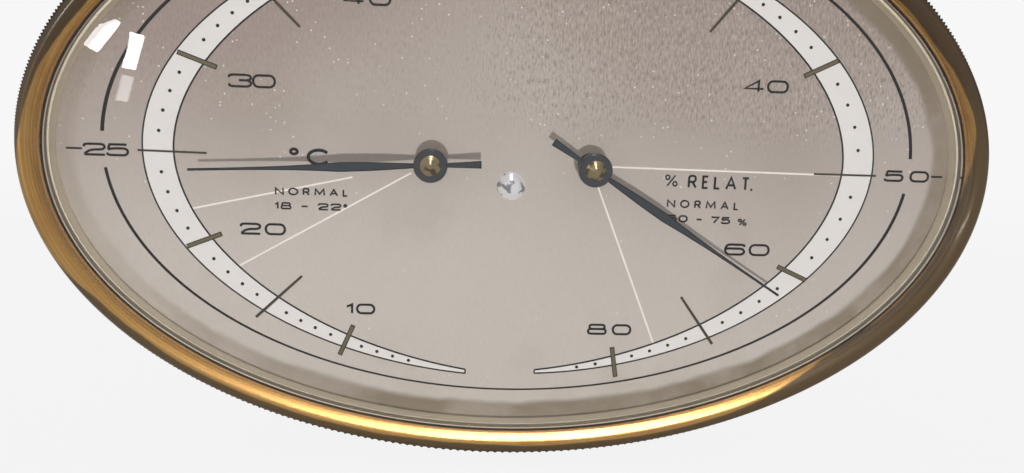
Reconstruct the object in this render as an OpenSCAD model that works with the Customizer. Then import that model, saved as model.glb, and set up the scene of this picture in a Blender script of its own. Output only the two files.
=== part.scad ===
// Oval desk thermo-hygrometer: two pointers on one dial, domed crystal, rolled bezel, folding strut.
// Millimetres. The dial faces -Y, +Z is up, and the origin is on the table under the middle.

/* [Bezel] */
// Width of the bezel's outline
oval_w = 159.4; // [150:0.2:170]
// Height of the bezel's outline
oval_h = 100.8; // [94:0.1:108]
// Width of the bezel ring seen from the front
bezel_w = 4.2; // [4:0.1:5.6]
// How far the bezel's crest stands ahead of the dial
bezel_crest_h = 6.2; // [5.8:0.1:7.4]
// Distance of the crest from the outer edge
bezel_crest_in = 1.9; // [1.4:0.1:2.6]
// How far the lip's edge lies behind the crest
bezel_drop = 1.7; // [1.3:0.1:2.1]
// Thickness of the bezel's lip over the crystal
bezel_lip_t = 0.5; // [0.4:0.1:0.9]
// Wall of the bezel's skirt
bezel_wall = 1; // [0.7:0.05:1.05]
// Where the bezel's skirt ends, ahead of the dial
bezel_skirt_h = 1.2; // [0.6:0.1:1.8]
// Height of the straight edge between the bezel's rolled face and the milled ring
bezel_edge_h = 0.3; // [0.2:0.1:0.6]

/* [Milled ring] */
// How far the milled ring stands out past the bezel
mill_out = 1.3; // [0.7:0.05:1.8]
// Depth of one tooth of the milling
mill_depth = 0.35; // [0.2:0.05:0.5]
// Distance from tooth to tooth along the ring
mill_pitch = 0.86; // [0.8:0.02:1.4]
// Thickness of the milled ring from front to back
mill_t = 2.8; // [2:0.1:4]

/* [Crystal] */
// Wall of the crystal
crystal_wall = 1.5; // [1.1:0.1:1.7]
// Height of the crystal's crown ahead of the dial
crystal_crown = 13; // [12:0.1:15]
// Outer radius of the crystal's shoulder
crystal_shoulder_r = 5; // [3.5:0.1:6]
// How far the dome still rises from the shoulder to the crown
crystal_rise = 1.9; // [1.2:0.1:2.4]
// Thickness of the crystal's flange
crystal_flange_t = 1.1; // [0.8:0.1:1.4]
// Gap between the bezel's inner edge and the crystal's wall
crystal_gap = 0.35; // [0.2:0.05:0.6]
// Thickness of the gasket over the flange
gasket_t = 0.4; // [0.3:0.05:0.6]

/* [Dial] */
// Thickness of the dial plate
dial_t = 0.8; // [0.5:0.1:1.2]
// Width of the ring between the dial and the crystal's flange
spacer_w = 2.6; // [1.8:0.1:3]
// Distance between the two pointer axes
pivot_span = 26.66; // [25:0.5:30]
// Height of the pointer axes above the middle of the oval
pivot_z = -0.4; // [-2:0.1:1]
// Height of the centre screw above the middle of the oval
screw_z = -4.2; // [-5:0.1:-3.5]
// Radius of the centre screw's domed head
screw_head_r = 2.4; // [1.9:0.1:2.6]
// Height of the centre screw's dome
screw_dome_h = 1.3; // [0.8:0.1:1.6]
// Radius of the centre screw's shank
screw_r = 1.4; // [1:0.1:1.6]

/* [Pointers] */
// Height of the pointers ahead of the dial
pointer_h = 6; // [5:0.1:6.5]
// Thickness of a pointer
pointer_t = 0.3; // [0.2:0.05:0.5]
// Length of the thermometer pointer from its axis
thermometer_reach = 38.6; // [34:0.1:39]
// Length of the hygrometer pointer from its axis
hygrometer_reach = 37.8; // [32:0.1:39]
// Length of a pointer's tail
tail_reach = 8.2; // [6:0.1:9]
// Widest place of a pointer
pointer_w = 1.55; // [1.1:0.05:1.8]
// Place of a pointer's widest point, as a share of its reach
pointer_peak = 0.38; // [0.3:0.01:0.45]
// Width of a pointer's root at its axis
pointer_root_w = 0.45; // [0.3:0.05:0.7]
// Width of a pointer's tip
pointer_tip_w = 0.4; // [0.25:0.05:0.5]
// Width of a pointer's tail at its end
tail_w = 1.25; // [0.9:0.05:1.4]
// Width of a tail's root at the pointer's axis
tail_root_w = 0.45; // [0.3:0.05:0.7]
// Degrees that the thermometer pointer points below the horizontal
thermometer_reading = 2.6; // [-60:0.1:60]
// Degrees that the hygrometer pointer points below the horizontal
hygrometer_reading = 32.3; // [-60:0.1:60]
// Radius of a pointer's hub
hub_r = 2.75; // [2.5:0.05:3.2]
// Thickness of a pointer's hub
hub_t = 1.5; // [1:0.1:1.8]

/* [Movement] */
// Radius of a spindle
spindle_r = 0.9; // [0.7:0.05:1.1]
// Radius of the coned spindle head in the hub
spindle_head_r = 1.65; // [1.4:0.05:2]
// Height of the cone on the spindle head
spindle_cone_h = 0.8; // [0.5:0.1:1.1]
// Wall of a bearing bush
bush_wall = 1.05; // [0.8:0.05:1.2]
// Distance from the dial's back to the bridge
bridge_gap = 3.2; // [2.4:0.1:4]
// Thickness of the bridge
bridge_t = 1.2; // [1:0.1:1.6]
// Height of the bridge's bar
bridge_h = 12; // [11:0.5:14]
// Length of the bridge between its end posts
bridge_span = 48; // [44:0.5:54]
// Radius of the bridge's end posts
bridge_post_r = 2; // [1.5:0.1:2.5]
// Radius over the corners of the bridge nut
nut_r = 3; // [2.6:0.1:3.4]
// Thickness of the bridge nut
nut_t = 1.8; // [1.4:0.1:2.2]
// Thickness of a bush's flange
bush_flange_t = 0.8; // [0.5:0.1:1]
// Thickness of an adjuster
adjuster_t = 0.8; // [0.6:0.1:1]
// Radius at which the post holds the coil's outer end
post_reach = 10.2; // [9.8:0.1:11]
// Radius of a post
post_r = 0.6; // [0.5:0.05:0.8]
// Length of an adjuster's tail from the axis to its tab
tail_lever = 14; // [13:0.5:16]
// Width of an adjuster's arm
lever_w = 2.4; // [2:0.1:3]
// Degrees that an adjuster turns to either side
adjuster_swing = 12; // [8:1:14]
// Width of the coil strips
coil_w = 3.5; // [3:0.1:4]
// Thickness of the bimetal strip
bimetal_t = 0.5; // [0.4:0.05:0.6]
// Turns of the bimetal coil
bimetal_turns = 4; // [3:1:5]
// Thickness of the moisture strip
moisture_t = 0.7; // [0.5:0.05:0.8]
// Turns of the moisture coil
moisture_turns = 3; // [2:1:4]

/* [Case] */
// Depth of the case behind the dial
case_depth = 18; // [17:0.5:24]
// Wall of the case shell
case_wall = 0.8; // [0.6:0.05:1]
// Thickness of the back cover
cover_t = 1; // [0.8:0.1:1.5]
// Thickness of the case's flanges
flange_t = 0.8; // [0.6:0.1:1.2]
// Width of an air slot
vent_w = 2.4; // [1.8:0.1:3]
// Length of an air slot
vent_l = 20; // [14:1:26]
// Number of air slots on each side
vent_count = 4; // [2:1:5]
// Distance between air slots
vent_step = 7; // [5:0.5:8]
// Distance of the first air slot from the pointer's axis
vent_in = 19; // [17:0.5:20]
// Radius of the keyhole's round opening
keyhole_r = 3.5; // [3:0.1:4]
// Width of the keyhole's slot
keyhole_slot_w = 2.6; // [2:0.1:3]
// Height of the keyhole above the middle of the oval
keyhole_z = 33; // [31:0.5:35]
// Radius of a back screw's thread
back_screw_r = 0.8; // [0.6:0.05:1]
// Length of a back screw's thread
back_screw_l = 5; // [3.5:0.1:5.5]
// Radius of a back screw's head
back_screw_head_r = 1.9; // [1.5:0.1:2.2]
// Height of a back screw's head
back_screw_head_h = 1; // [0.7:0.1:1.3]
// Degrees between the horizontal and a back screw
back_screw_angle = 32; // [28:1:40]
// Radius of a lug that takes a back screw
lug_r = 2.4; // [2:0.1:2.8]
// Length of a lug
lug_l = 6; // [5.8:0.1:8]

/* [Strut] */
// Height of the strut's hinge above the middle of the oval
hinge_z = 14; // [10:0.5:18]
// Distance of the hinge axis behind the cover
hinge_out = 4.4; // [4:0.1:6]
// Degrees between the open strut and the upright case
strut_angle = 22; // [16:1:28]
// Thickness of the strut's leg
leg_t = 1.5; // [1:0.1:2]
// Width of the leg at the hinge
leg_top_w = 14; // [12:0.5:16]
// Width of the leg at the foot
leg_foot_w = 26; // [22:0.5:32]
// Radius of the hinge pin
pin_r = 1; // [0.8:0.05:1.2]
// Radius of the foot's rubber roll
foot_r = 2.2; // [1.9:0.1:2.6]
// Thickness of the bracket's plate
bracket_t = 1.2; // [1:0.1:1.6]
// Thickness of a bracket's ear
ear_t = 1.4; // [1:0.1:2]
// Height of the bracket's plate
plate_h = 13; // [12:0.5:15]
// Radius of a rivet
rivet_r = 0.8; // [0.6:0.05:1]
// Radius of a rivet's head
rivet_head_r = 1.5; // [1.2:0.1:1.8]
// Height of a rivet's head
rivet_head_h = 0.8; // [0.5:0.1:1]
// Radius of the rib along the leg
rib_r = 1.2; // [0.9:0.1:1.5]

/* [Clearances] */
// Radial play of a spindle in its bush
spindle_play = 0.05; // [0.03:0.01:0.08]
// Radial gap round a piece that is pressed or screwed into another
fit_gap = 0.05; // [0.03:0.01:0.07]
// Radial play of the hinge pin in the leg
pin_play = 0.05; // [0.03:0.01:0.08]
// Gap between pieces that lie inside one another
seat_gap = 0.1; // [0.05:0.01:0.15]
// Gap between a coil and the piece that holds its end
coil_gap = 0.3; // [0.2:0.05:0.4]
// Side play of the leg between the ears
leg_play = 0.2; // [0.1:0.05:0.3]
// Gap left at the end stop of the strut
stop_gap = 0.1; // [0.05:0.01:0.2]

/* [Hidden] */
$fn = 48;

// Steps round the oval, and the semi-axes of the bezel's outline
oval_steps = 108;
half_w = oval_w / 2;
half_h = oval_h / 2;

// Depths along Y, measured from the dial's face, positive to the back
lip_under = bezel_drop + bezel_lip_t - bezel_crest_h;
flange_front = lip_under + gasket_t;
flange_back = flange_front + crystal_flange_t;
skirt_back = -bezel_skirt_h;
mill_back = skirt_back + mill_t;
dial_back = dial_t;
bridge_front = dial_back + bridge_gap;
bridge_back = bridge_front + bridge_t;
adjuster_front = bridge_back + seat_gap;
adjuster_back = adjuster_front + adjuster_t;
coil_front = adjuster_back + 1;
coil_back = coil_front + coil_w;
cover_front = case_depth;
cover_back = case_depth + cover_t;
hinge_y = cover_back + hinge_out;

// Distances inward from the bezel's outline
case_in = bezel_wall + 2 * seat_gap;
case_inner = case_in + case_wall;
dial_in = case_inner + seat_gap;
spacer_in = dial_in + seat_gap;
ledge_in = dial_in + 3;
wall_in = bezel_w + crystal_gap;
flange_in = bezel_wall + 3 * seat_gap;
gasket_in = flange_in + 4 * seat_gap;
shoulder_in = wall_in + crystal_shoulder_r;
cover_in = case_in + 0.4;
lug_in = case_in + lug_r + 0.3;

// Place of the dial's middle in the part
foot_drop = half_h + mill_out + hinge_z - foot_r;
leg_l = foot_drop / cos(strut_angle);
foot_y = hinge_y + leg_l * sin(strut_angle);
dial_y = (crystal_crown - foot_y - foot_r) / 2;
dial_z = half_h + mill_out;

// Bearings
bush_bore_r = spindle_r + spindle_play;
bush_r = bush_bore_r + bush_wall;
bush_front = -pointer_h + hub_t / 2 + 0.15;
bush_flange_r = bush_r + 1.2;
spigot_r = bush_r - 0.3;
hub_front = -pointer_h - hub_t / 2;
hub_back = -pointer_h + hub_t / 2;
collet_r = spindle_r + 0.6;
eye_r = spindle_head_r + 0.3;
tab_back = cover_front - 1.8;
tab_slot_w = 3.4;
tab_slot_l = 2 * tail_lever * sin(adjuster_swing) + lever_w + 1;

// Hinge bracket and strut
ear_x = leg_top_w / 2 + 2 + leg_play;
plate_w = 2 * (ear_x + ear_t + 3.6);
ear_r = pin_r + 2;
knuckle_r = pin_r + 1.2;
heel_y = hinge_out - bracket_t - stop_gap;

// A point of the oval, d millimetres inside the bezel's outline, at the angle t
function rim_point(t, d) =
    let (n = [half_h * cos(t), half_w * sin(t)])
    [half_w * cos(t), half_h * sin(t)] - d * n / norm(n);
function rim(d) = [for (i = [0:oval_steps - 1]) rim_point(360 * i / oval_steps, d)];

// Length along the outline up to each degree, for teeth at an even pitch
function mill_point(t) = rim_point(t, -mill_out);
function run_lengths() = [
    for (i = 0, s = 0; i <= 360; i = i + 1, s = s + norm(mill_point(i) - mill_point(i - 1)))
        [s, i]
];
run_table = run_lengths();
run_total = run_table[360][0];
teeth = round(run_total / mill_pitch);
function tooth_angle(i) = lookup(run_total * i / (2 * teeth), run_table) - 90;
function mill_outline() = [
    for (i = [0:2 * teeth - 1]) rim_point(tooth_angle(i), -mill_out + (i % 2) * mill_depth)
];

// A closed skin through rings of equal length: quads between rings, each cut into two triangles
function skin_faces(rows, n, first) = [
    for (r = [0:rows - 2], i = [0:n - 1]) let (a = first + r * n + i, b = first + r * n + (i + 1) % n)
        each [[a, a + n, b], [b, a + n, b + n]]
];
function loop_faces(rows, n) = [
    for (i = [0:n - 1]) let (a = (rows - 1) * n + i, b = (rows - 1) * n + (i + 1) % n)
        each [[a, i, b], [b, i, (i + 1) % n]]
];

// Moves what is drawn round the dial's middle to its place in the part
module at_dial() {
    translate([0, dial_y, dial_z]) children();
}

// A flat outline in X and Z, thick from the depth y0 to the depth y1
module slab(y0, y1) {
    translate([0, y1, 0]) rotate([90, 0, 0]) linear_extrude(y1 - y0) children();
}

// A round bar along Y
module rod(r, y0, y1) {
    translate([0, y1, 0]) rotate([90, 0, 0]) cylinder(r = r, h = y1 - y0);
}

// A piece turned round the Y axis from points of radius and depth
module turned(points) {
    rotate([90, 0, 0]) rotate_extrude() polygon([for (p = points) [p[0], -p[1]]]);
}

// The area between two outlines
module ring_outline(outer, inner) {
    n = len(outer);
    m = len(inner);
    polygon(concat(outer, inner), [[for (i = [0:n - 1]) i], [for (i = [0:m - 1]) n + i]]);
}

module oval_ring(d0, d1, y0, y1) {
    slab(y0, y1) ring_outline(rim(d0), rim(d1));
}

module at_pivot(side) {
    at_dial() translate([side * pivot_span / 2, 0, pivot_z]) children();
}

// The bezel's section, as distance inward and depth: rolled face, lip, and the skirt's inner wall
function bezel_section() = let (
    shoulder = skirt_back - bezel_edge_h,
    face = bezel_w - bezel_crest_in
) concat(
    [[0, skirt_back]],
    [for (f = [0:18:90]) [
        bezel_crest_in * (1 - cos(f)),
        shoulder - (bezel_crest_h + shoulder) * sin(f)
    ]],
    [for (k = [1:4]) [
        bezel_crest_in + face * k / 4,
        -bezel_crest_h + bezel_drop * pow(k / 4, 2)
    ]],
    [[bezel_w, lip_under], [bezel_wall + 0.5, lip_under]],
    [[bezel_wall, lip_under + 0.5], [bezel_wall, skirt_back]]
);

module bezel_ring() {
    section = bezel_section();
    rows = len(section);
    points = [for (s = section) for (p = rim(s[0])) [p[0], s[1], p[1]]];
    faces = concat(skin_faces(rows, oval_steps, 0), loop_faces(rows, oval_steps));
    color("#b98f4e") at_dial() polyhedron(points, faces, convexity = 6);
}

module milled_ring() {
    color("#6b5a3c") at_dial()
        slab(skirt_back, mill_back) ring_outline(mill_outline(), rim(case_in - seat_gap));
}

// One face of the crystal from the dome's first ring to the wall: the dome shrinks the shoulder's oval
function dome_rings(inset) = [for (q = [0.12, 0.3, 0.5, 0.7, 0.88]) [
    [for (p = rim(shoulder_in)) p * q],
    -crystal_crown + inset + crystal_rise * q * q
]];
function shoulder_rings(inset) = let (r = crystal_shoulder_r - inset, top = crystal_crown - crystal_rise)
    [for (f = [0:18:90]) [
        rim(shoulder_in - r * sin(f)),
        -top + crystal_shoulder_r - r * cos(f)
    ]];
function ring_points(rings) = [for (g = rings) for (p = g[0]) [p[0], g[1], p[1]]];

module crystal() {
    outside = concat(dome_rings(0), shoulder_rings(0), [[rim(wall_in), flange_front]]);
    flange = [[rim(flange_in), flange_front], [rim(flange_in), flange_back]];
    shoulder_back = [for (i = [4:-1:0]) shoulder_rings(crystal_wall)[i]];
    dome_back = [for (i = [4:-1:0]) dome_rings(crystal_wall)[i]];
    inside = concat([[rim(wall_in + crystal_wall), flange_back]], shoulder_back, dome_back);
    rings = concat(outside, flange, inside);
    rows = len(rings);
    n = oval_steps;
    last = rows * n;
    points = concat(ring_points(rings), [[0, -crystal_crown, 0], [0, -crystal_crown + crystal_wall, 0]]);
    front_cap = [for (i = [0:n - 1]) [last, i, (i + 1) % n]];
    back_cap = [for (i = [0:n - 1]) [last + 1, last - n + (i + 1) % n, last - n + i]];
    color("#dfe4dd", 0.35) at_dial()
        polyhedron(points, concat(front_cap, skin_faces(rows, n, 0), back_cap), convexity = 6);
}

module crystal_gasket() {
    color("#1d1b19") at_dial() oval_ring(gasket_in, bezel_w - seat_gap, lip_under, flange_front);
}

module spacer_ring() {
    color("#a88a55") at_dial() oval_ring(spacer_in, spacer_in + spacer_w, flange_back, 0);
}

module dial_plate() {
    color("#b8ada6") at_dial() difference() {
        slab(0, dial_back) polygon(rim(dial_in));
        for (side = [-1, 1])
            translate([side * pivot_span / 2, 0, pivot_z]) rod(bush_r + 2 * seat_gap, -1, dial_back + 1);
        translate([0, 0, screw_z]) rod(screw_r + seat_gap, -1, dial_back + 1);
    }
}

// Domed head on the dial, shank through the dial and the bridge to the nut
module dial_screw() {
    dome_r = (screw_head_r * screw_head_r + screw_dome_h * screw_dome_h) / (2 * screw_dome_h);
    dome = [for (k = [0:8]) let (r = screw_head_r * k / 8)
        [r, -sqrt(dome_r * dome_r - r * r) + dome_r - screw_dome_h]];
    shank_back = bridge_back + nut_t + 0.6;
    color("#d9d9d6") at_dial() translate([0, 0, screw_z])
        turned(concat(dome, [[screw_r, 0], [screw_r, shank_back], [0, shank_back]]));
}

// Bar with rounded ends behind the dial, a bored middle boss and two end posts that meet the dial
module bridge() {
    bar_z = (pivot_z + screw_z) / 2;
    color("#b08d4a") at_dial() difference() {
        union() {
            slab(bridge_front, bridge_back) {
                translate([-bridge_span / 2, bar_z - bridge_h / 2]) square([bridge_span, bridge_h]);
                for (side = [-1, 1]) translate([side * bridge_span / 2, bar_z]) circle(r = bridge_h / 2);
            }
            translate([0, 0, screw_z]) rod(screw_r + 1.9, dial_back, bridge_back);
            for (side = [-1, 1])
                translate([side * bridge_span / 2, 0, bar_z]) rod(bridge_post_r, dial_back, bridge_back);
        }
        translate([0, 0, screw_z]) rod(screw_r + seat_gap, dial_back - 1, bridge_back + 1);
        for (side = [-1, 1])
            translate([side * pivot_span / 2, 0, pivot_z])
                rod(spigot_r + fit_gap, bridge_front - 1, bridge_back + 1);
    }
}

module bridge_nut() {
    color("#c9b27a") at_dial() translate([0, 0, screw_z]) difference() {
        translate([0, bridge_back + nut_t, 0]) rotate([90, 0, 0]) cylinder(r = nut_r, h = nut_t, $fn = 6);
        rod(screw_r + fit_gap, bridge_back - 1, bridge_back + nut_t + 1);
    }
}

// Bearing bush: tube up to the hub, flange on the bridge, and a spigot through it that carries the adjuster
module bush(side) {
    flange_front_y = bridge_front - bush_flange_t;
    color("#9a7b3f") at_pivot(side) difference() {
        union() {
            rod(bush_r, bush_front, bridge_front);
            rod(bush_flange_r, flange_front_y, bridge_front);
            rod(spigot_r, bridge_front - 0.1, adjuster_back + 0.2);
        }
        rod(bush_bore_r, bush_front - 1, adjuster_back + 2);
    }
}

// Spindle: coned head in the hub, shaft through the bush, and a collet inside the coil
module spindle(side) {
    shaft_front = hub_back - 0.2;
    color("#c09a52") at_pivot(side) turned([
        [0, hub_front - spindle_cone_h], [0.35, hub_front - spindle_cone_h],
        [spindle_head_r, hub_front], [spindle_head_r, shaft_front], [spindle_r, shaft_front],
        [spindle_r, adjuster_back + 0.4], [collet_r, adjuster_back + 0.4],
        [collet_r, coil_back + 0.4], [spindle_r, coil_back + 0.4],
        [spindle_r, coil_back + 1.4], [0, coil_back + 1.4]
    ]);
}

// Dark hub pressed on the spindle head, with a groove that grips the pointer's eye
module hub(side) {
    edge = 0.25;
    color("#33363b") at_pivot(side) turned([
        [spindle_head_r, hub_front], [hub_r - edge, hub_front], [hub_r, hub_front + edge],
        [hub_r, -pointer_h - pointer_t / 2], [eye_r, -pointer_h - pointer_t / 2],
        [eye_r, -pointer_h + pointer_t / 2], [hub_r, -pointer_h + pointer_t / 2],
        [hub_r, hub_back], [spindle_head_r, hub_back]
    ]);
}

// Half of the pointer's width at the distance s from the axis, thin at the hub and at the tip
function pointer_half(s, reach) = let (
    peak = reach * pointer_peak,
    left = (reach - s) / (reach - peak)
) (s < peak
    ? pointer_root_w + (pointer_w - pointer_root_w) * sin(90 * s / peak)
    : pointer_tip_w + (pointer_w - pointer_tip_w) * pow(left, 3)) / 2;

function pointer_outline(reach) = let (s0 = eye_r / 2, steps = 18) concat(
    [for (k = [0:steps]) let (s = s0 + (reach - s0) * k / steps) [s, -pointer_half(s, reach)]],
    [for (k = [steps:-1:0]) let (s = s0 + (reach - s0) * k / steps) [s, pointer_half(s, reach)]]
);

// Lance-shaped pointer with a short tail and an eye in the hub's groove, turned to its reading
module pointer(side, reach, reading) {
    turn = side > 0 ? -reading : 180 + reading;
    front = -pointer_h - pointer_t / 2;
    color("#262b33") at_pivot(side) rotate([0, -turn, 0]) slab(front, front + pointer_t)
        difference() {
            union() {
                polygon(pointer_outline(reach));
                circle(r = hub_r - 0.1);
                polygon([
                    [0, tail_root_w / 2], [-tail_reach, tail_w / 2],
                    [-tail_reach, -tail_w / 2], [0, -tail_root_w / 2]
                ]);
            }
            circle(r = eye_r + 0.02);
        }
}

// Flat spiral strip from the collet out to the post, its outer end below the post
function spiral(turns, t, offset) = let (
    r0 = collet_r + coil_gap + t / 2,
    r1 = post_reach - post_r - coil_gap - t / 2
) [for (k = [0:24 * turns]) let (f = k / (24 * turns), a = 90 - 360 * turns * (1 - f))
    (r0 + (r1 - r0) * f + offset) * [cos(a), sin(a)]];

module coil(side, turns, t) {
    outer = spiral(turns, t, t / 2);
    inner = spiral(turns, t, -t / 2);
    at_pivot(side) slab(coil_front, coil_back)
        polygon(concat(outer, [for (i = [len(inner) - 1:-1:0]) inner[i]]));
}

// Friction lever on the bush's spigot: arm up to the post, tail down to a tab bent towards the cover
module adjuster(side) {
    color("#a8a9a6") at_pivot(side) difference() {
        union() {
            rod(spigot_r + 1.7, adjuster_front, adjuster_back);
            slab(adjuster_front, adjuster_back) {
                translate([-lever_w / 2, 0]) square([lever_w, post_reach]);
                translate([0, post_reach]) circle(r = lever_w / 2);
                translate([-lever_w / 2, -tail_lever]) square([lever_w, tail_lever]);
            }
            slab(adjuster_front, tab_back) translate([-lever_w / 2, -tail_lever - adjuster_t])
                square([lever_w, adjuster_t]);
        }
        rod(spigot_r + fit_gap, adjuster_front - 1, adjuster_back + 1);
    }
}

module post(side) {
    color("#c9a55c") at_pivot(side) translate([0, 0, post_reach])
        rod(post_r, adjuster_back, coil_back + 0.5);
}

module thermometer_bush() { bush(-1); }
module thermometer_spindle() { spindle(-1); }
module thermometer_hub() { hub(-1); }
module thermometer_pointer() { pointer(-1, thermometer_reach, thermometer_reading); }
module thermometer_coil() { color("#8f8a80") coil(-1, bimetal_turns, bimetal_t); }
module thermometer_adjuster() { adjuster(-1); }
module thermometer_post() { post(-1); }
module hygrometer_bush() { bush(1); }
module hygrometer_spindle() { spindle(1); }
module hygrometer_hub() { hub(1); }
module hygrometer_pointer() { pointer(1, hygrometer_reach, hygrometer_reading); }
module hygrometer_coil() { color("#cdbf98") coil(1, moisture_turns, moisture_t); }
module hygrometer_adjuster() { adjuster(1); }
module hygrometer_post() { post(1); }

// Places of the four back screws, on the oval inside the case wall
module at_back_screws() {
    for (t = [1, -1]) for (base = [0, 180]) {
        p = rim_point(base + t * back_screw_angle, lug_in);
        translate([p[0], 0, p[1]]) children();
    }
}

// Drum with a seat for the milled ring outside, a ledge for the dial inside and a lip for the cover
module case_shell() {
    color("#8c7345") at_dial() difference() {
        union() {
            oval_ring(case_in, case_inner, flange_back, cover_front);
            oval_ring(0.3, case_inner, mill_back, mill_back + flange_t);
            oval_ring(case_in, ledge_in, dial_back, dial_back + flange_t);
            oval_ring(case_in, ledge_in, cover_front - flange_t, cover_front);
            at_back_screws() rod(lug_r, cover_front - lug_l, cover_front);
        }
        at_back_screws() rod(back_screw_r + fit_gap, cover_front - lug_l - 1, cover_front + 1);
    }
}

module slot(w, l, y0, y1) {
    slab(y0, y1) {
        translate([-l / 2 + w / 2, -w / 2]) square([l - w, w]);
        for (side = [-1, 1]) translate([side * (l - w) / 2, 0]) circle(r = w / 2);
    }
}

// Oval plate with air slots, two slots over the adjusters, the keyhole and the screw and rivet holes
module back_cover() {
    y0 = cover_front - 1;
    y1 = cover_back + 1;
    color("#9c8149") at_dial() difference() {
        slab(cover_front, cover_back) polygon(rim(cover_in));
        for (side = [-1, 1]) {
            for (k = [0:vent_count - 1])
                translate([side * (pivot_span / 2 + vent_in + k * vent_step), 0, 0]) rotate([0, 90, 0])
                    slot(vent_w, vent_l, y0, y1);
            translate([side * pivot_span / 2, 0, pivot_z - tail_lever])
                slot(tab_slot_w, tab_slot_l, y0, y1);
        }
        translate([0, 0, keyhole_z]) {
            rod(keyhole_r, y0, y1);
            slab(y0, y1) {
                translate([-keyhole_slot_w / 2, 0]) square([keyhole_slot_w, keyhole_r + 3]);
                translate([0, keyhole_r + 3]) circle(r = keyhole_slot_w / 2);
            }
        }
        at_back_screws() rod(back_screw_r + 0.2, y0, y1);
        at_rivets() rod(rivet_r + fit_gap, y0, y1);
    }
}

module back_screws() {
    tip = cover_front - back_screw_l;
    head_back = cover_back + back_screw_head_h;
    slot_w = 0.5;
    color("#b9a067") at_dial() at_back_screws() difference() {
        turned([
            [0, tip], [back_screw_r, tip], [back_screw_r, cover_back],
            [back_screw_head_r, cover_back], [back_screw_head_r, cover_back + back_screw_head_h / 2],
            [back_screw_head_r * 0.8, head_back], [0, head_back]
        ]);
        translate([-back_screw_head_r - 1, head_back - back_screw_head_h * 0.45, -slot_w / 2])
            cube([2 * back_screw_head_r + 2, back_screw_head_h, slot_w]);
    }
}

module at_rivets() {
    for (side = [-1, 1], level = [-1, 1])
        translate([side * (plate_w / 2 - 2), 0, hinge_z + level * (plate_h / 2 - 2.2)]) children();
}

module at_hinge() {
    at_dial() translate([0, hinge_y, hinge_z]) children();
}

module bar_x(r, x0, x1) {
    translate([x0, 0, 0]) rotate([0, 90, 0]) cylinder(r = r, h = x1 - x0);
}

module strut_bracket() {
    color("#a98c50") difference() {
        union() {
            at_dial() translate([-plate_w / 2, cover_back, hinge_z - plate_h / 2])
                cube([plate_w, bracket_t, plate_h]);
            at_hinge() for (side = [-1, 1]) {
                x0 = side > 0 ? ear_x : -ear_x - ear_t;
                bar_x(ear_r, x0, x0 + ear_t);
                translate([x0, -hinge_out + 0.2, -ear_r]) cube([ear_t, hinge_out - 0.2, 2 * ear_r]);
            }
        }
        at_hinge() bar_x(pin_r + 0.02, -ear_x - ear_t - 1, ear_x + ear_t + 1);
        at_dial() at_rivets() rod(rivet_r + fit_gap, cover_back - 1, cover_back + bracket_t + 1);
    }
}

module bracket_rivets() {
    color("#c4a866") at_dial() at_rivets() turned([
        [0, cover_front - 0.5], [rivet_head_r * 0.9, cover_front - 0.5], [rivet_head_r * 0.9, cover_front],
        [rivet_r, cover_front], [rivet_r, cover_back + bracket_t], [rivet_head_r, cover_back + bracket_t],
        [rivet_head_r * 0.75, cover_back + bracket_t + rivet_head_h * 0.75],
        [0, cover_back + bracket_t + rivet_head_h]
    ]);
}

module strut_pin() {
    end_x = ear_x + ear_t;
    head_t = 0.8;
    color("#d0d0cc") at_hinge() {
        bar_x(pin_r, -end_x, end_x);
        bar_x(pin_r + 0.7, end_x, end_x + head_t);
        bar_x(pin_r + 0.7, -end_x - head_t, -end_x);
    }
}

// Leg: rolled knuckle with a heel that stops it open, and a tapered plate with a pressed rib
module strut() {
    knuckle_x = ear_x - leg_play;
    leg_end = leg_l - foot_r * 0.4;
    color("#a98c50") at_hinge() difference() {
        union() {
            bar_x(knuckle_r, -knuckle_x, knuckle_x);
            translate([-leg_top_w / 2, -heel_y, 0.3]) cube([leg_top_w, heel_y, knuckle_r + 0.4]);
            rotate([strut_angle, 0, 0]) {
                slab(-leg_t / 2, leg_t / 2) polygon([
                    [-leg_top_w / 2, 0], [leg_top_w / 2, 0],
                    [leg_top_w / 2, -0.15 * leg_l], [leg_foot_w / 2, -leg_end],
                    [-leg_foot_w / 2, -leg_end], [-leg_top_w / 2, -0.15 * leg_l]
                ]);
                translate([0, leg_t / 2, -0.18 * leg_l])
                    rotate([180, 0, 0]) cylinder(r = rib_r, h = 0.66 * leg_l);
            }
        }
        bar_x(pin_r + pin_play, -knuckle_x - 1, knuckle_x + 1);
    }
}

// Rubber roll pushed onto the leg's lower edge
module strut_foot() {
    play = 0.02;
    color("#2a2826") at_hinge() rotate([strut_angle, 0, 0]) difference() {
        translate([0, 0, -leg_l]) bar_x(foot_r, -leg_foot_w / 2 - 1, leg_foot_w / 2 + 1);
        slab(-leg_t / 2 - play, leg_t / 2 + play)
            translate([-leg_foot_w / 2 - seat_gap, -leg_l + foot_r * 0.4 - play])
                square([leg_foot_w + 2 * seat_gap, 2 * foot_r]);
    }
}

bezel_ring();
milled_ring();
crystal();
crystal_gasket();
spacer_ring();
dial_plate();
dial_screw();
bridge();
bridge_nut();
thermometer_bush();
thermometer_spindle();
thermometer_hub();
thermometer_pointer();
thermometer_coil();
thermometer_adjuster();
thermometer_post();
hygrometer_bush();
hygrometer_spindle();
hygrometer_hub();
hygrometer_pointer();
hygrometer_coil();
hygrometer_adjuster();
hygrometer_post();
case_shell();
back_cover();
back_screws();
strut_bracket();
bracket_rivets();
strut_pin();
strut();
strut_foot();
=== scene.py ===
import math
import bmesh
import bpy
from mathutils import Matrix, Quaternion, Vector


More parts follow.
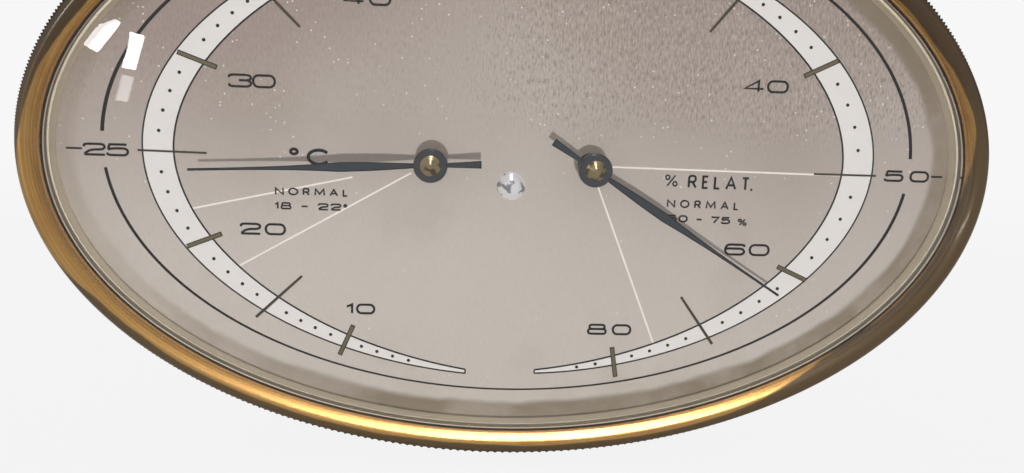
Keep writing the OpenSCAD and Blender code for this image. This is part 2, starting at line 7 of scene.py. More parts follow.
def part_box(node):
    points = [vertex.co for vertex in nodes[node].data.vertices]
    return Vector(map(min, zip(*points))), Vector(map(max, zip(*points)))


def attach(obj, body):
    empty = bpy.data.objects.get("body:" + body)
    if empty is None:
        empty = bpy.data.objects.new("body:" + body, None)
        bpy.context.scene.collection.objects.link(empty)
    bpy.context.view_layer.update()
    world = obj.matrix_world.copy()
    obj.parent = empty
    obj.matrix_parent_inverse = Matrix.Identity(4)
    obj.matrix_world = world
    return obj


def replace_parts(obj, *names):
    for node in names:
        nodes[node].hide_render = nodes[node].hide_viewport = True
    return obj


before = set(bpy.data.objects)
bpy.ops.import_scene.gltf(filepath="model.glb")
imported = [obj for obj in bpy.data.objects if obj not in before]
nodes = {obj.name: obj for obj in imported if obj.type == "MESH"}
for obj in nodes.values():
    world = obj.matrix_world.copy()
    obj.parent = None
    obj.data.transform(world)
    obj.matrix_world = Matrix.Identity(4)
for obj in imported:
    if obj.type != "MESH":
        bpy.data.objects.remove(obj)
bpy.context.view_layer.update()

# Lengths are written in millimetres from the middle of the dial: x to the right, depth to the back, z up.
mm = 0.001
dialLow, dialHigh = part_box("dial_plate")
dialMiddle = (dialLow.z + dialHigh.z) / 2


def place(x, depth, z):
    return Vector((x * mm, dialLow.y + depth * mm, dialMiddle + z * mm))


# Shader maths
class Wire:
    def __init__(self, tree, socket):
        self.tree = tree
        self.socket = socket

    def maths(self, operation, *values):
        return self.tree.node("ShaderNodeMath", {"operation": operation}, dict(enumerate(values)))

    def __add__(self, other):
        return self.maths("ADD", self, other)

    def __sub__(self, other):
        return self.maths("SUBTRACT", self, other)

    def __mul__(self, other):
        return self.maths("MULTIPLY", self, other)

    def __truediv__(self, other):
        return self.maths("DIVIDE", self, other)

    def __rsub__(self, other):
        return self.maths("SUBTRACT", other, self)

    def __pow__(self, other):
        return self.maths("POWER", self, other)

    def __lt__(self, other):
        return self.maths("LESS_THAN", self, other)

    def __gt__(self, other):
        return self.maths("GREATER_THAN", self, other)

    def larger(self, other):
        return self.maths("MAXIMUM", self, other)

    __radd__ = __add__


class Tree:
    def __init__(self, owner):
        owner.use_nodes = True
        self.data = owner.node_tree
        self.data.nodes.clear()

    # Any node: its type, its settings, the values or links of its sockets, and which output is wanted
    def node(self, kind, settings=None, sockets=None, out=0):
        made = self.data.nodes.new(kind)
        for key, value in (settings or {}).items():
            if key == "stops":
                ramp = made.color_ramp
                while len(ramp.elements) < len(value):
                    ramp.elements.new(1)
                for stop, (where, colour) in zip(ramp.elements, value):
                    stop.position = where
                    stop.color = colour
            else:
                setattr(made, key, value)
        for key, value in (sockets or {}).items():
            if isinstance(value, Wire):
                self.data.links.new(value.socket, made.inputs[key])
            else:
                made.inputs[key].default_value = value
        return Wire(self, made.outputs[out]) if made.outputs else None

    def coordinates(self, stretch=(1, 1, 1)):
        spot = self.node("ShaderNodeTexCoord", out=3)
        return self.node("ShaderNodeMapping", None, {"Vector": spot, "Scale": stretch})

    def noise(self, stretch, scale, detail=2.0, roughness=0.5):
        spot = self.coordinates(stretch)
        sockets = {"Vector": spot, "Scale": scale, "Detail": detail, "Roughness": roughness}
        return self.node("ShaderNodeTexNoise", None, sockets)

    def between(self, value, low, high):
        sockets = {"Value": value, "From Min": low, "From Max": high}
        return self.node("ShaderNodeMapRange", {"interpolation_type": "SMOOTHSTEP"}, sockets)

    def colours(self, mask, first, second):
        return self.node("ShaderNodeMix", {"data_type": "RGBA"}, {0: mask, 6: first, 7: second}, out=2)

    def bump(self, height, distance, strength=1.0):
        sockets = {"Height": height, "Distance": distance, "Strength": strength}
        return self.node("ShaderNodeBump", None, sockets)

    def shine(self, **sockets):
        named = {key.replace("_", " "): value for key, value in sockets.items()}
        return self.node("ShaderNodeBsdfPrincipled", None, named)

    def surface(self, shader):
        self.node("ShaderNodeOutputMaterial", None, {"Surface": shader})


def tone(*levels):  # red, green and blue as they look on a screen, 0 to 255
    return tuple(((c / 255 + 0.055) / 1.055) ** 2.4 if c > 10 else c / 255 / 12.92 for c in levels) + (1,)


def finish(name):
    material = bpy.data.materials.new(name)
    return material, Tree(material)


# Finishes
def spunBrass(name, light, dark, roughness, mottle):  # brass with fine lines and warm blotches
    material, tree = finish(name)
    cloud = tree.noise((1, 1, 1), 90, 3)
    lines = tree.noise((1, 14, 1), 420, 2)
    colour = tree.colours(tree.between(cloud * mottle + lines * (1 - mottle), 0.38, 0.64), dark, light)
    tree.surface(tree.shine(
        Base_Color=colour, Metallic=1.0, Roughness=roughness + lines * 0.12,
        Normal=tree.bump(lines, 0.00002, 0.35),
    ))
    return material


# The dark band's colours and the amounts that widen it are tarnish mixed with painted shade
bezelLook = {
    "light": tone(236, 188, 118), "dark": tone(214, 164, 98), "stain": tone(184, 130, 78),
    "tarnishAndShade": tone(80, 65, 43), "paintedShadeAbove": tone(58, 46, 33), "reach": 0.9,
    "bright": (-79, -11), "more": 1.45, "moreAbove": 0.9, "moreRight": 1.9, "lessUpRight": 0.75,
    "roughness": 0.2, "tarnishAndShadeMetal": 0.35, "coat": 0.5, "coatRough": 0.12,
}


def turnedBrass():  # lacquered brass, turned: lines run round the ring, a dark band of tarnish and painted shade creeps in from outside
    material, tree = finish("bezelGold")
    inset = tree.node("ShaderNodeAttribute", {"attribute_name": "inset"}, out=2)
    around = tree.node("ShaderNodeTexCoord", out=3)
    track = tree.node("ShaderNodeCombineXYZ", None, {"X": inset * 2.2})
    sockets = {0: around, 1: (12, 12, 12), 2: track}
    mixed = tree.node("ShaderNodeVectorMath", {"operation": "MULTIPLY_ADD"}, sockets)
    lines = tree.node("ShaderNodeTexNoise", None, {"Vector": mixed, "Scale": 5.0, "Detail": 3.0})
    cloud = tree.noise((1, 1, 1), 55, 4, 0.6)
    colour = tree.colours(tree.between(lines, 0.35, 0.65), bezelLook["dark"], bezelLook["light"])
    colour = tree.colours(tree.between(cloud, 0.48, 0.72) * 0.6, colour, bezelLook["stain"])
    side = tree.node("ShaderNodeSeparateXYZ", None, {"Vector": around})
    above = tree.node("ShaderNodeSeparateXYZ", None, {"Vector": around}, out=2) - dialMiddle
    x, z = bezelLook["bright"]
    sockets = {0: around, 1: place(x, 0, z)}
    far = tree.node("ShaderNodeVectorMath", {"operation": "DISTANCE"}, sockets, out=1)
    # painted shade: the dark band widens away from a lit spot on the left, towards the top and towards the
    # right, less so at the upper right
    more = tree.between(far, 0.006, 0.021) * bezelLook["more"]
    more = more + tree.between(above, 0.004, 0.024) * bezelLook["moreAbove"]
    low = 1 - tree.between(above, -0.006, 0.011) * bezelLook["lessUpRight"]
    more = more + tree.between(side, 0.036, 0.06) * low * bezelLook["moreRight"]
    inward = inset + (cloud - 0.5) * 1.2 - more
    tarnishAndShade = tree.between(inward, bezelLook["reach"] + 0.25, bezelLook["reach"] - 0.2)
    # painted shade: the dark band turns darker towards the top
    brown = tree.colours(tree.between(above, 0.002, 0.02), bezelLook["tarnishAndShade"], bezelLook["paintedShadeAbove"])
    colour = tree.colours(tarnishAndShade * 0.95, colour, brown)
    rough = lines * 0.1 + tarnishAndShade * 0.14 + bezelLook["roughness"]
    metal = 1 - tarnishAndShade * (1 - bezelLook["tarnishAndShadeMetal"])
    tree.surface(tree.shine(
        Base_Color=colour, Metallic=metal, Roughness=rough,
        Coat_Weight=bezelLook["coat"], Coat_Roughness=bezelLook["coatRough"],
    ))
    return material


def plainMetal(name, colour, roughness, grain=0.1):
    material, tree = finish(name)
    cloud = tree.noise((1, 1, 1), 260, 3)
    tree.surface(tree.shine(Base_Color=colour, Metallic=1.0, Roughness=roughness + (cloud - 0.5) * grain))
    return material


def blotsAndReflectionsMetal(name, bright, dark, metallic, roughness, low):  # small bright ends with dark blots: random blotches that also stand in for painted reflections of a darker room
    material, tree = finish(name)
    blotsAndReflections = tree.between(tree.noise((1, 1, 1), 760, 1), low, low + 0.1)
    colour = tree.colours(blotsAndReflections * 0.8, bright, dark)
    tree.surface(tree.shine(Base_Color=colour, Metallic=metallic, Roughness=roughness))
    return material


def matte(name, colour, roughness, spread=0.06):
    material, tree = finish(name)
    cloud = tree.noise((1, 1, 1), 700, 2)
    darker = tuple(c * (1 - spread) for c in colour[:3]) + (1,)
    tree.surface(tree.shine(Base_Color=tree.colours(cloud, darker, colour), Roughness=roughness))
    return material


# rim and the keys named after it set the painted shade along the dial's border
dialLook = {
    "upper": tone(161, 144, 137), "lower": tone(209, 201, 193), "grain": tone(116, 105, 94),
    "pale": tone(204, 190, 184), "dust": tone(236, 230, 226), "stain": tone(172, 160, 142),
    "rim": tone(140, 127, 110), "half": (79.7, 50.4), "rimStart": 7.1, "rimEnd": 8.4, "rimRagged": 1.6,
    "rimShadeShare": 0.95, "rimShadeLess": (0.03, 0.066), "grainFrom": (0.003, 0.011), "grainSide": (-0.011, 0.006),
    "dustMany": 0.24, "dustFew": 0.01, "metallic": 0.2, "roughness": 0.5,
}


def dialEdgeShade(tree):  # painted shade: a soft dark border where the dial meets the ring that holds it
    side = tree.node("ShaderNodeSeparateXYZ", None, {"Vector": tree.coordinates()})
    above = tree.node("ShaderNodeSeparateXYZ", None, {"Vector": tree.coordinates()}, out=2) - dialMiddle
    wide, high = (half * mm for half in dialLook["half"])
    reach = ((side / wide) ** 2 + (above / high) ** 2) ** 0.5
    slope = ((side / wide ** 2) ** 2 + (above / high ** 2) ** 2) ** 0.5
    ragged = (tree.noise((1, 1, 1), 170, 3) - 0.5) * dialLook["rimRagged"] * mm
    inset = (1 - reach) * reach / slope + ragged
    fainter = 1 - tree.between(0 - side, *dialLook["rimShadeLess"]) * 0.75
    direct = 1 - tree.node("ShaderNodeLightPath", out=3)  # the crystal's wall gathers light from further in
    return tree.between(inset, dialLook["rimEnd"] * mm, dialLook["rimStart"] * mm) * fainter * direct


def dialPaint():  # silvered and lacquered: vertical grain in its upper part, a slow change of tone, dust, and painted shade along its border
    material, tree = finish("dialSilver")
    slow = tree.noise((1, 1, 1), 18, 2)
    height = tree.node("ShaderNodeSeparateXYZ", None, {"Vector": tree.coordinates()}, out=2)
    above = height - dialMiddle
    upper = tree.between(above * 14 + slow * 0.8, -0.05, 0.95)
    base = tree.colours(upper, dialLook["lower"], dialLook["upper"])
    blotch = tree.noise((1, 1, 1), 45, 4, 0.6)
    base = tree.colours(tree.between(blotch, 0.5, 0.75) * 0.3, base, dialLook["stain"])
    uneven = (tree.noise((1, 1, 1), 90, 3) - 0.5) * 0.014
    side = tree.node("ShaderNodeSeparateXYZ", None, {"Vector": tree.coordinates()})
    patch = tree.between(above + uneven, *dialLook["grainFrom"])
    patch = patch * (tree.between(side + uneven, *dialLook["grainSide"]) * 0.8 + 0.2)
    streaks = tree.noise((1, 1, 0.3), 3300, 2, 0.6)
    base = tree.colours(tree.between(streaks, 0.5, 0.68) * (0.08 + patch * 0.42), base, dialLook["grain"])
    base = tree.colours(tree.between(streaks, 0.48, 0.31) * (0.05 + patch * 0.55), base, dialLook["pale"])
    cells = {"Vector": tree.coordinates(), "Scale": 1350.0}
    speck = tree.between(tree.node("ShaderNodeTexVoronoi", None, cells), 0.3, 0.1)
    drawn = tree.node("ShaderNodeTexVoronoi", None, cells, out=1)
    chance = tree.node("ShaderNodeSeparateXYZ", None, {"Vector": drawn})
    few = tree.between(tree.noise((1, 1, 1), 110, 3), 0.4, 0.62)
    dust = speck * (chance < upper * few * dialLook["dustMany"] + dialLook["dustFew"])
    base = tree.colours(dust * 0.9, base, dialLook["dust"])
    # breaks the painted shade at the dial's border into patches
    patchyShade = tree.between(tree.noise((1, 1, 1), 85, 4, 0.6), 0.36, 0.62) * 0.35 + 0.65
    base = tree.colours(dialEdgeShade(tree) * patchyShade * dialLook["rimShadeShare"], base, dialLook["rim"])
    rough = streaks * 0.12 + dialLook["roughness"]
    tree.surface(tree.shine(Base_Color=base, Metallic=dialLook["metallic"], Roughness=rough))
    return material


crystalLook = {
    "clear": (0.996, 0.996, 0.994, 1), "shade": (0.95, 0.94, 0.925, 1), "rim": (0.965, 0.95, 0.92, 1),
    "wall": (0.95, 0.92, 0.86, 1), "wallInset": 5.9, "wallFront": 4.1, "mirror": 0.035, "graze": 0.07,
}


def clearCrystal():  # acrylic: seen straight through, its wall mirrors the dial from inside
    material, tree = finish("crystalClear")
    facing = tree.node("ShaderNodeLayerWeight", None, {"Blend": 0.5}, out=1)
    clear = tree.node("ShaderNodeBsdfTransparent", None, {"Color": crystalLook["clear"]})
    rim = tree.node("ShaderNodeBsdfTransparent", None, {"Color": crystalLook["rim"]})
    shade = tree.node("ShaderNodeBsdfTransparent", None, {"Color": crystalLook["shade"]})
    slanted, steep = tree.between(facing, 0.2, 0.5), tree.between(facing, 0.6, 0.8)
    through = tree.node("ShaderNodeMixShader", None, {0: slanted, 1: clear, 2: shade})
    through = tree.node("ShaderNodeMixShader", None, {0: steep, 1: through, 2: rim})
    mirror = tree.node("ShaderNodeBsdfGlossy", None, {"Color": (1, 1, 1, 1), "Roughness": 0.0})
    unlit = tree.node("ShaderNodeLightPath", out=1).larger(tree.node("ShaderNodeLightPath", out=2))
    inset = tree.node("ShaderNodeAttribute", {"attribute_name": "inset"}, out=2)
    depth = tree.node("ShaderNodeSeparateXYZ", None, {"Vector": tree.coordinates()}, out=1)
    inside = tree.node("ShaderNodeNewGeometry", out=6) * (inset < crystalLook["wallInset"])
    inside = inside * (depth > place(0, -crystalLook["wallFront"], 0).y)
    wall = tree.node("ShaderNodeBsdfGlossy", None, {"Color": crystalLook["wall"], "Roughness": 0.05})
    turned = inside * tree.between(facing, 0.3, 0.45) * (1 - unlit)
    through = tree.node("ShaderNodeMixShader", None, {0: turned, 1: through, 2: wall})
    share = (facing ** 5 * crystalLook["graze"] + crystalLook["mirror"]) * (1 - unlit)
    tree.surface(tree.node("ShaderNodeMixShader", None, {0: share, 1: through, 2: mirror}))
    return material


finishes = {
    "bezelGold": turnedBrass(),
    "milledBrass": spunBrass("milledBrass", tone(96, 78, 52), tone(58, 46, 32), 0.42, 0.6),
    "caseBrass": spunBrass("caseBrass", tone(206, 172, 116), tone(166, 134, 84), 0.4, 0.6),
    # painted light: the ring's beige paint is made paler to stand in for light that the crystal wall brings
    # into this shaded corner
    "spacerBeigeLit": matte("spacerBeigeLit", tone(255, 243, 220), 0.5),
    "strutBrass": spunBrass("strutBrass", tone(220, 188, 130), tone(184, 150, 98), 0.36, 0.5),
    "bridgeBrass": spunBrass("bridgeBrass", tone(190, 154, 92), tone(160, 124, 70), 0.35, 0.5),
    "gasketRubber": matte("gasketRubber", tone(24, 22, 20), 0.7),
    "dialSilver": dialPaint(),
    "crystalClear": clearCrystal(),
    "inkBlack": matte("inkBlack", tone(9, 8, 7), 0.8),
    "inkDark": matte("inkDark", tone(62, 54, 40), 0.6),
    "inkOlive": matte("inkOlive", tone(104, 93, 68), 0.5),
    "bandWhite": matte("bandWhite", tone(232, 227, 224), 0.6),
    "lineCream": matte("lineCream", tone(246, 238, 230), 0.6),
    # lit and shaded copies of blued steel: the flat top is painted lighter as a sheen, the chamfers and
    # sides near-black as painted shade
    "bluedSteelSheen": matte("bluedSteelSheen", tone(50, 56, 63), 0.32, 0.25),
    "bluedEdgeShade": matte("bluedEdgeShade", tone(12, 11, 12), 0.65),
    "hubDark": matte("hubDark", tone(56, 58, 62), 0.3, 0.2),
    "spindleBrass": blotsAndReflectionsMetal("spindleBrass", tone(168, 150, 116), tone(62, 50, 38), 0.8, 0.26, 0.5),
    # painted reflection: pale chrome with little metal, and dark blots for the room it would mirror
    "screwChrome": blotsAndReflectionsMetal("screwChrome", tone(243, 243, 246), tone(104, 105, 114), 0.4, 0.16, 0.56),
    "steel": plainMetal("steel", tone(180, 180, 176), 0.3),
    "bimetal": plainMetal("bimetal", tone(166, 150, 124), 0.35),
    "moistureStrip": matte("moistureStrip", tone(206, 190, 152), 0.6),
    "footRubber": matte("footRubber", tone(40, 38, 36), 0.75),
}
nodeFinishes = {
    "milled_ring": "milledBrass", "crystal_gasket": "gasketRubber", "spacer_ring": "spacerBeigeLit",
    "dial_plate": "dialSilver", "dial_screw": "screwChrome", "bridge": "bridgeBrass",
    "bridge_nut": "bridgeBrass", "case_shell": "caseBrass", "back_cover": "caseBrass",
    "back_screws": "steel", "strut_bracket": "strutBrass", "bracket_rivets": "bridgeBrass",
    "strut_pin": "steel", "strut": "strutBrass", "strut_foot": "footRubber",
    "thermometer_coil": "bimetal", "hygrometer_coil": "moistureStrip",
    "bezel_ring": "bezelGold", "crystal": "crystalClear",
}
kindFinishes = {  # pieces that the thermometer and the hygrometer both have
    "bush": "spindleBrass", "spindle": "spindleBrass", "hub": "hubDark", "pointer": "bluedSteelSheen",
    "adjuster": "steel", "post": "spindleBrass",
}
for name in nodes:
    kind = name.split("_")[-1]
    chosen = finishes[nodeFinishes.get(name) or kindFinishes[kind]]
    if not nodes[name].material_slots:
        nodes[name].data.materials.append(chosen)
    for holder in nodes[name].material_slots:
        holder.material = chosen
print("finishes set on", len(nodes), "solids")


# Making meshes
def piece(name, points, faces, material, body, sharp=30, marks=None, second=None, insets=None):
    mesh = bpy.data.meshes.new(name)
    mesh.from_pydata(points, [], faces)
    if insets:
        mesh.attributes.new("inset", "FLOAT", "POINT").data.foreach_set("value", insets)
    mesh.materials.append(finishes[material])
    if second:
        mesh.materials.append(finishes[second])
        for face, mark in zip(mesh.polygons, marks):
            face.material_index = mark
    work = bmesh.new()
    work.from_mesh(mesh)
    bmesh.ops.recalc_face_normals(work, faces=work.faces)
    work.to_mesh(mesh)
    work.free()
    mesh.shade_smooth()
    mesh.set_sharp_from_angle(angle=math.radians(sharp))
    made = bpy.data.objects.new(name, mesh)
    bpy.context.scene.collection.objects.link(made)
    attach(made, body)
    return made


oval = {"width": 159.4, "height": 100.8, "steps": 288}


def rimPoint(turn, inset):
    wide, high = oval["width"] / 2, oval["height"] / 2
    out = Vector((high * math.cos(turn), wide * math.sin(turn))).normalized()
    return Vector((wide * math.cos(turn), high * math.sin(turn))) - inset * out


def ovalRing(inset, depth, share=1.0):
    spots = [rimPoint(2 * math.pi * i / oval["steps"], inset) * share for i in range(oval["steps"])]
    return [place(p.x, depth, p.y) for p in spots]


def skin(rings, closed):  # quads between neighbouring rings; closed joins the last ring to the first
    count = len(rings[0])
    points = [p for ring in rings for p in ring]
    faces = []
    for r in range(len(rings) if closed else len(rings) - 1):
        a, b = r * count, (r + 1) % len(rings) * count
        faces += [(a + i, b + i, b + (i + 1) % count, a + (i + 1) % count) for i in range(count)]
    return points, faces


bezel = {
    "width": 4.2, "crestHeight": 6.2, "crestInset": 1.9, "drop": 1.7, "lip": 0.5, "wall": 1.0, "skirt": 1.2,
    "edge": 0.3, "corner": 0.5, "faceSteps": 12, "facetSteps": 8,
}


def makeBezel():
    lipUnder = bezel["drop"] + bezel["lip"] - bezel["crestHeight"]
    shoulder = -bezel["skirt"] - bezel["edge"]
    facet = bezel["width"] - bezel["crestInset"]
    section = [(0, -bezel["skirt"])]
    for k in range(bezel["faceSteps"] + 1):
        f = math.pi / 2 * k / bezel["faceSteps"]
        rise = (bezel["crestHeight"] + shoulder) * math.sin(f)
        section.append((bezel["crestInset"] * (1 - math.cos(f)), shoulder - rise))
    for k in range(1, bezel["facetSteps"] + 1):
        f = k / bezel["facetSteps"]
        section.append((bezel["crestInset"] + facet * f, -bezel["crestHeight"] + bezel["drop"] * f ** 2))
    section += [(bezel["width"], lipUnder), (bezel["wall"] + bezel["corner"], lipUnder)]
    section += [(bezel["wall"], lipUnder + bezel["corner"]), (bezel["wall"], -bezel["skirt"])]
    points, faces = skin([ovalRing(*s) for s in section], True)
    insets = [s[0] for s in section for _ in range(oval["steps"])]
    ring = piece("bezel", points, faces, "bezelGold", "root", 40, insets=insets)
    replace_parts(ring, "bezel_ring")


makeBezel()
print("bezel made")

crystal = {
    "wall": 1.5, "crown": 13, "shoulder": 5, "rise": 1.9, "flange": 1.1, "flangeGap": 0.3, "gap": 0.35,
    "gasket": 0.4, "gasketGap": 0.6, "clear": 0.03, "domeSteps": 16, "shoulderSteps": 14,
}


def makeCrystal():
    lipUnder = bezel["drop"] + bezel["lip"] - bezel["crestHeight"]
    flangeFront = lipUnder + crystal["gasket"]
    flangeBack = flangeFront + crystal["flange"] - crystal["clear"]
    wallIn = bezel["width"] + crystal["gap"]
    shoulderIn = wallIn + crystal["shoulder"]
    top = crystal["crown"] - crystal["rise"]

    def face(inset):
        radius = crystal["shoulder"] - inset
        rings = []
        for k in range(1, crystal["domeSteps"]):
            q = k / crystal["domeSteps"]
            rings.append((shoulderIn, -crystal["crown"] + inset + crystal["rise"] * q ** 2, q))
        for k in range(crystal["shoulderSteps"] + 1):
            f = math.pi / 2 * k / crystal["shoulderSteps"]
            depth = -top + crystal["shoulder"] - radius * math.cos(f)
            rings.append((shoulderIn - radius * math.sin(f), depth))
        return rings

    outside = face(0) + [(wallIn, flangeFront)]
    flangeIn = bezel["wall"] + crystal["flangeGap"]
    flange = [(flangeIn, flangeFront), (flangeIn, flangeBack)]
    inside = [(wallIn + crystal["wall"], flangeBack)] + face(crystal["wall"])[::-1]
    rings = outside + flange + inside
    points, faces = skin([ovalRing(*ring) for ring in rings], False)
    insets = [ring[0] for ring in rings for _ in range(oval["steps"])] + [shoulderIn] * 2
    first, last, count = len(points), len(points) - oval["steps"], oval["steps"]
    points += [place(0, -crystal["crown"], 0), place(0, -crystal["crown"] + crystal["wall"], 0)]
    faces += [(first, (i + 1) % count, i) for i in range(count)]
    faces += [(first + 1, last + i, last + (i + 1) % count) for i in range(count)]
    cover = piece("crystalCover", points, faces, "crystalClear", "root", 40, insets=insets)
    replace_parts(cover, "crystal")


def makeGasketAndGapShade():  # the gasket, carried out under the lip to the crystal wall: its black stands in for the shade in the gap there and shows as a black line between the lip and the crystal
    lipUnder = bezel["drop"] + bezel["lip"] - bezel["crestHeight"]
    back = lipUnder + crystal["gasket"]
    outer = bezel["wall"] + crystal["gasketGap"]
    inner = bezel["width"] + crystal["gap"] - crystal["clear"]
    front, rear = lipUnder + crystal["clear"], back - crystal["clear"]
    corners = [(outer, front), (inner, front), (inner, rear), (outer, rear)]
    points, faces = skin([ovalRing(*corner) for corner in corners], True)
    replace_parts(piece("gasket", points, faces, "gasketRubber", "root", 40), "crystal_gasket")


makeCrystal()
makeGasketAndGapShade()
print("crystal made")

printing = {"thickness": 0.03, "layer": 0.004}


class Print:  # collects closed strips of ink that stand on the dial's face
    def __init__(self, level):
        self.points = []
        self.faces = []
        self.front = -printing["thickness"] * level
        self.count = 0

    def prism(self, left, right, closed=False):
        front = self.front - printing["layer"] * (self.count % 3)
        self.count += 1
        start, count = len(self.points), len(left)
        for a, b in zip(left, right):
            self.points += [place(a[0], front, a[1]), place(b[0], front, b[1])]
            self.points += [place(b[0], 0.01, b[1]), place(a[0], 0.01, a[1])]
        for i in range(count if closed else count - 1):
            a, b = start + 4 * i, start + 4 * ((i + 1) % count)
            self.faces += [(a + k, a + (k + 1) % 4, b + (k + 1) % 4, b + k) for k in range(4)]
        if not closed:
            end = start + 4 * (count - 1)
            self.faces += [(start, start + 3, start + 2, start + 1), (end, end + 1, end + 2, end + 3)]

    def stroke(self, line, width, closed=False):
        line = [Vector(p) for p in line]
        last = len(line) - 1
        left, right = [], []
        for i, p in enumerate(line):
            before = line[i - 1] if i or closed else None
            after = line[(i + 1) % len(line)] if i < last or closed else None
            one = (p - before).normalized() if before else (after - p).normalized()
            two = (after - p).normalized() if after else one
            across = Vector((-one.y - two.y, one.x + two.x)).normalized()
            reach = min(1 / max(across.dot(Vector((-one.y, one.x))), 0.2), 1.8) * width / 2
            left.append(p + across * reach)
            right.append(p - across * reach)
        self.prism(left, right, closed)

    def dot(self, x, z, radius, steps=12):
        angles = [math.pi * k / steps for k in range(steps + 1)]
        upper = [(x - radius * math.cos(a), z + radius * math.sin(a) + 0.001) for a in angles]
        lower = [(x - radius * math.cos(a), z - radius * math.sin(a) - 0.001) for a in angles]
        self.prism(upper, lower)

    def make(self, name, material):
        return piece(name, self.points, self.faces, material, "root", 60)


def arc(x, z, wide, high, start, end, steps):
    angles = [math.radians(start + (end - start) * k / steps) for k in range(steps + 1)]
    return [(x + wide * math.cos(a), z + high * math.sin(a)) for a in angles]


# The scale: two white bands between thin lines, widest at the sides and closed at their ends
# Each edge is an oval: its centre, half its width and height, and how full it is
scale = {
    "left": {
        "outer": (1.044, 0.532, 61.986, 38.32, 1.951), "inner": (6.493, 0.412, 62.38, 38.291, 1.871),
        "end": -6.97,
    },
    "right": {
        "outer": (1.576, 0.721, 60.133, 37.986, 1.924), "inner": (-5.108, 0.62, 61.577, 37.865, 1.885),
        "end": 5.15,
    },
    "outerLine": 0.26, "innerLine": 0.28, "steps": 150,
}
pivots = {"left": (-13.33, -0.4), "right": (13.33, -0.4)}
degreesEach = {"left": 4.36, "right": 2.66, "rightUpper": 2.52}


def onOval(shape, x, up):
    cx, cz, wide, high, full = shape
    return cz + (1 if up else -1) * high * (1 - abs((x - cx) / wide) ** full) ** (1 / full)


def crossing(side, angle, edge):  # where a ray from a pointer's axis meets an edge of its band
    px, pz = pivots[side]
    cx, cz, wide, high, full = scale[side][edge]
    near, far = 10.0, 90.0
    for _ in range(40):
        reach = (near + far) / 2
        x, z = px + reach * math.cos(angle), pz + reach * math.sin(angle)
        inside = abs((x - cx) / wide) ** full + abs((z - cz) / high) ** full < 1
        near, far = (reach, far) if inside else (near, reach)
    return x, z


unevenness = {"left": 0.31, "leftBelow": 12, "right": 0.72, "rightPeriod": 22}


def bearing(side, value):  # direction from a pointer's axis to a value; neither scale is quite even
    if side == "left":
        below = max(0, unevenness["leftBelow"] - value) * unevenness["left"]
        return math.pi + math.radians(degreesEach["left"] * (25 - value) - 0.5 + below)
    each = degreesEach["right"] if value >= 50 else degreesEach["rightUpper"]
    shift = unevenness["right"] * math.sin(math.pi * (value - 50) / unevenness["rightPeriod"])
    return -math.radians(each * (value - 50) - (shift if value > 50 else 0))


def bandEdge(side, edge):  # one edge of a band, from its lower end round the side to its upper end
    px, pz = pivots[side]
    x = scale[side]["end"]
    low, high = (math.atan2(onOval(scale[side][edge], x, up) - pz, x - px) for up in (False, True))
    if side == "left":
        low += 2 * math.pi
    steps = scale["steps"]
    return [crossing(side, low + (high - low) * k / steps, edge) for k in range(steps + 1)]


def makeScale():
    band = Print(1)
    lines = Print(1.6)
    for side in ("left", "right"):
        outside, inside = bandEdge(side, "outer"), bandEdge(side, "inner")
        band.prism(outside, inside)
        lines.stroke(outside, scale["outerLine"])
        lines.stroke(inside, scale["innerLine"])
        for end in (0, -1):
            lines.stroke([outside[end], inside[end]], scale["outerLine"])
    band.make("scaleBand", "bandWhite")
    lines.make("scaleEdges", "inkBlack")


makeScale()

rim = {
    "centre": (0.36, 1.12), "size": (67.75, 41.36), "steps": 120,
    "parts": [(-174.4, -6.5), (1.8, 177.3)],
    "dashes": [((-73.28, 0.11), (-70.7, 0.11)), ((72.08, -0.5), (74.02, -0.5))], "dashWidth": 0.33,
    "widths": {
        "bottom": 0.3, "lowerLeft": 0.52, "lowerRight": 0.55,
        "top": 0.36, "upperLeft": 0.62, "upperRight": 0.55,
    },
}


def rimWidth(across, up):  # the line is thin below and above and swells towards the sides
    middle = rim["widths"]["top" if up else "bottom"]
    side = rim["widths"][("upper" if up else "lower") + ("Right" if across > 0 else "Left")]
    return middle + (side - middle) * abs(across) ** 2.5


def makeRimLine():  # the line round the scale, open at the two outer numbers, which have short dashes
    ink = Print(1)
    x, z = rim["centre"]
    for start, end in rim["parts"]:
        points = [Vector(p) for p in arc(x, z, *rim["size"], start, end, rim["steps"])]
        left, right = [], []
        for i, p in enumerate(points):
            along = (points[min(i + 1, rim["steps"])] - points[max(i - 1, 0)]).normalized()
            half = rimWidth((p.x - x) / rim["size"][0], p.y > z) / 2
            left.append(p + Vector((-along.y, along.x)) * half)
            right.append(p - Vector((-along.y, along.x)) * half)
        ink.prism(left, right)
    for dash in rim["dashes"]:
        ink.stroke(dash, rim["dashWidth"])
    ink.make("rimLine", "inkBlack")


makeRimLine()

ticks = {
    "bars": [
        ((-54.61, 16.15), (-48.61, 13.97)), ((-54.09, -15.86), (-48.55, -13.66)),
        ((-28.72, -34.35), (-26.49, -29.25)), ((53.84, 18.41), (48.5, 15.77)),
        ((51.89, -19.2), (46.91, -17.0)), ((19.52, -37.43), (18.7, -32.28)),
        ((-28.72, 33.55), (-26.49, 28.45)), ((20.6, 36.9), (19.4, 31.7)),
    ],
    "hairs": [((-61.73, 0.09), (-50.55, -0.07)), ((62.44, -0.62), (51.64, -0.62))],
    "needles": [
        ((-43.01, -28.01), (-35.12, -20.59)), ((-39.43, 25.17), (-35.02, 20.79)),
        ((36.38, -31.18), (30.27, -22.77)), ((36.18, 27.63), (31.94, 22.36)),
    ],
    "barWidth": 0.52, "barEdge": 0.15, "hairWidth": 0.34, "needleWidth": 0.48, "needlePoint": 0.4,
    "needleBend": 0.45, "dot": 0.29, "dotShare": 0.28,
}


